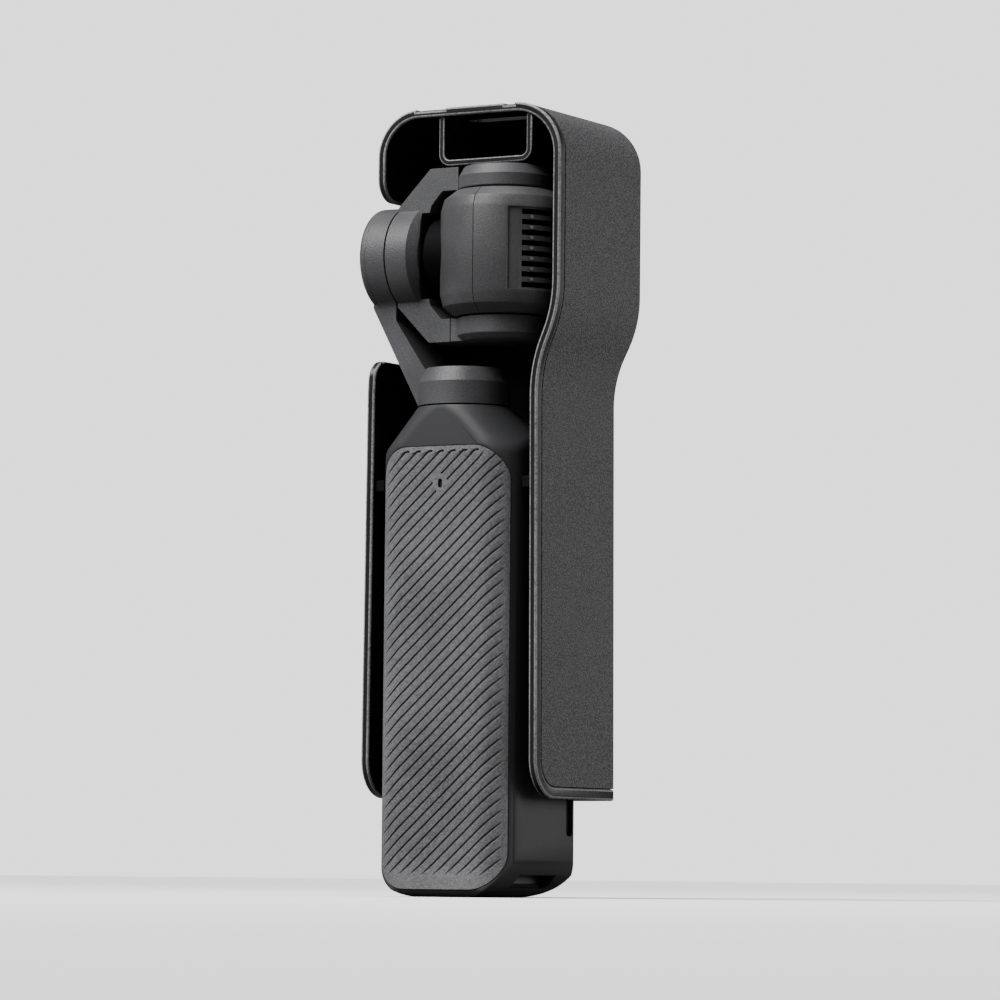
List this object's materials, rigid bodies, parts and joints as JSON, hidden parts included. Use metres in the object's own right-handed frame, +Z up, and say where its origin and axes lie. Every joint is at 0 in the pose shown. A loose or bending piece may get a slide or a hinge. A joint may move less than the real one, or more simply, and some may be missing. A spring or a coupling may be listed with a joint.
{
  "type": "gimbal camera",
  "caption": "Pocket camera with a folding three-axis gimbal head on a ribbed grip with a rotating screen, stowed in an open-backed protective cover.",
  "frame": {"origin": "where the pan axis meets the handle's flat base", "axes": "+Z up along the pan axis and the longest side, +Y out of the screen side, +X to the side with the card slot"},
  "size_m": [0.0427, 0.0435, 0.1512],
  "materials": {
    "handle_body": "satin dark grey moulding",
    "grip_rubber": "fine grained dark grey with diagonal ribs",
    "mesh_metal": "black mesh",
    "light_window": "frosted light window",
    "steel": "turned steel",
    "black_plastic": "black moulding",
    "board": "solder mask",
    "battery_wrap": "dark wrap",
    "button": "smooth dark cap",
    "record_red": "red mark",
    "screen_frame": "dark frame",
    "screen_glass": "black screen glass",
    "copper": "enamelled copper windings",
    "gimbal_metal": "fine satin dark grey coat",
    "camera_body": "fine satin dark grey coat",
    "lens_trim": "black ring",
    "lens_glass": "coated glass",
    "sink_metal": "plain metal",
    "cover_rim": "satin dark moulding",
    "cover_grain": "fine grained dark skin",
    "pad_rubber": "soft black pad"
  },
  "bodies": {
    "handle": {"handle_shell": "handle_body", "grip_plate": "grip_rubber", "mic_mesh": "mesh_metal", "status_light": "light_window", "latch_bars": "steel", "usb_shell": "steel", "usb_tongue": "black_plastic", "main_board": "board", "battery": "battery_wrap", "control_board": "board", "card_socket": "black_plastic", "pan_motor_stator": "copper", "pan_bearing": "steel"},
    "card": {"memory_card": "black_plastic"},
    "record_key": {"record_button": "button", "record_dot": "record_red"},
    "stick_base": {"joystick_plunger": "black_plastic"},
    "stick_ring": {"joystick_ring": "black_plastic"},
    "stick_cap": {"joystick_cap": "black_plastic"},
    "screen": {"screen_housing": "screen_frame", "screen_glass": "screen_glass", "screen_pivot": "screen_frame"},
    "pan_stage": {"pan_shaft": "steel", "pan_arm": "gimbal_metal", "roll_motor_cap": "gimbal_metal", "roll_motor_stator": "copper", "roll_bearing": "steel"},
    "roll_stage": {"roll_shaft": "steel", "yoke": "gimbal_metal", "top_pivot_cap": "gimbal_metal", "tilt_motor_housing": "gimbal_metal", "tilt_motor_stator": "copper", "tilt_bearing": "steel"},
    "camera": {"tilt_shaft": "steel", "pivot_pin": "steel", "camera_front_shell": "camera_body", "camera_rear_shell": "camera_body", "vent_studs": "steel", "lens_ring": "lens_trim", "lens_glass": "lens_glass", "lens_tube": "black_plastic", "inner_lens": "lens_glass", "sensor_board": "board", "heat_sink": "sink_metal"},
    "cover": {"cover_shell": "cover_rim", "cover_skin": "cover_grain", "strap_tunnel": "cover_rim", "clip_tabs": "cover_rim", "side_pads": "pad_rubber", "front_pads": "pad_rubber"}
  },
  "joints": [
    {"name": "cover_slide", "type": "slide", "parent": "handle", "child": "cover", "axis": [0, 1, 0], "range_m": [0, 0.42]},
    {"name": "pan", "type": "hinge", "parent": "handle", "child": "pan_stage", "pos_m": [0, 0, 0.0935], "axis": [0, 0, 1], "range_deg": [-153, 150]},
    {"name": "roll", "type": "hinge", "parent": "pan_stage", "child": "roll_stage", "pos_m": [-0.0125, 0, 0.1227], "axis": [1, 0, 0], "range_deg": [-130, 153]},
    {"name": "tilt", "type": "hinge", "parent": "roll_stage", "child": "camera", "pos_m": [0.0086, 0, 0.1227], "axis": [0, 0, 1], "range_deg": [0, 278]},
    {"name": "screen_swivel", "type": "hinge", "parent": "handle", "child": "screen", "pos_m": [0.00475, 0.0213, 0.05625], "axis": [0, 1, 0], "range_deg": [0, 91]},
    {"name": "card_slide", "type": "slide", "parent": "handle", "child": "card", "axis": [1, 0, 0], "range_m": [0, 0.0135]},
    {"name": "record_press", "type": "slide", "parent": "handle", "child": "record_key", "axis": [0, -1, 0], "range_m": [0, 0.0005], "stiffness_N_per_m": 2500},
    {"name": "stick_press", "type": "slide", "parent": "handle", "child": "stick_base", "axis": [0, -1, 0], "range_m": [0, 0.0003], "stiffness_N_per_m": 3000},
    {"name": "stick_tilt_up", "type": "hinge", "parent": "stick_base", "child": "stick_ring", "pos_m": [0.0065, 0.0196, 0.019], "axis": [1, 0, 0], "range_deg": [-10, 10], "stiffness_Nm_per_rad": 0.02},
    {"name": "stick_tilt_side", "type": "hinge", "parent": "stick_ring", "child": "stick_cap", "pos_m": [0.0065, 0.0196, 0.019], "axis": [0, 0, 1], "range_deg": [-10, 10], "stiffness_Nm_per_rad": 0.02}
  ],
  "couplings": [
    {"joint": "pan", "follows": "cover_slide", "rad_per_m": -3.74},
    {"joint": "roll", "follows": "cover_slide", "rad_per_m": 3.74},
    {"joint": "tilt", "follows": "cover_slide", "rad_per_m": 7.48},
    {"joint": "screen_swivel", "follows": "cover_slide", "rad_per_m": 3.74},
    {"joint": "card_slide", "follows": "cover_slide", "ratio": 0.032}
  ]
}
